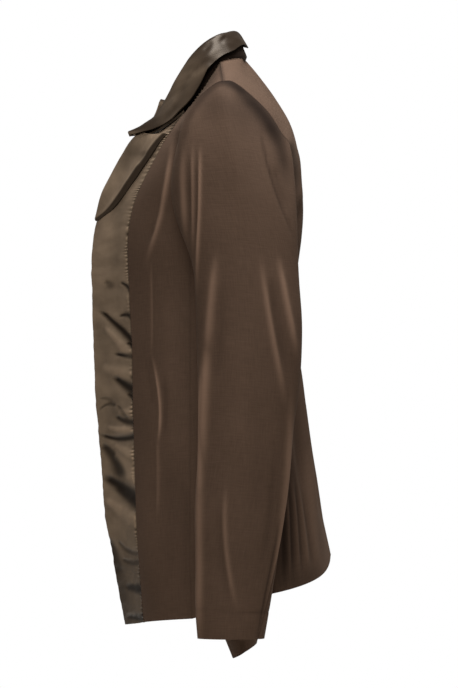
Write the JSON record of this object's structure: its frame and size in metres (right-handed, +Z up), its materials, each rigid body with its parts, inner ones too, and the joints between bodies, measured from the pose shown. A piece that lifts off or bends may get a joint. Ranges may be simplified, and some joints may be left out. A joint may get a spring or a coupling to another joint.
{
  "type": "blazer",
  "caption": "Fitted hip-length blazer in brown cloth with satin front bands, lapels and collar, filled out as worn with nothing inside.",
  "frame": {"origin": "in the middle plane, level with the neck end of the shoulder seams, where the wearer's neck and shoulders hold the garment", "axes": "+Z up, the front faces -Y, the wearer's left is +X"},
  "size_m": [0.5858, 0.2741, 0.7315],
  "materials": {
    "cloth": "fine matt weave with a faint sheen along folds",
    "satin": "soft bronze-olive satin, creased"
  },
  "bodies": {
    "root": {"front_left": "cloth", "side_left": "cloth", "back_left": "cloth", "top_sleeve_left": "cloth", "under_sleeve_left": "cloth", "front_right": "cloth", "side_right": "cloth", "back_right": "cloth", "top_sleeve_right": "cloth", "under_sleeve_right": "cloth", "collar_stand": "cloth", "band_left": "satin", "lapel_left": "satin", "band_right": "satin", "lapel_right": "satin", "collar_upper": "satin"}
  },
  "joints": []
}
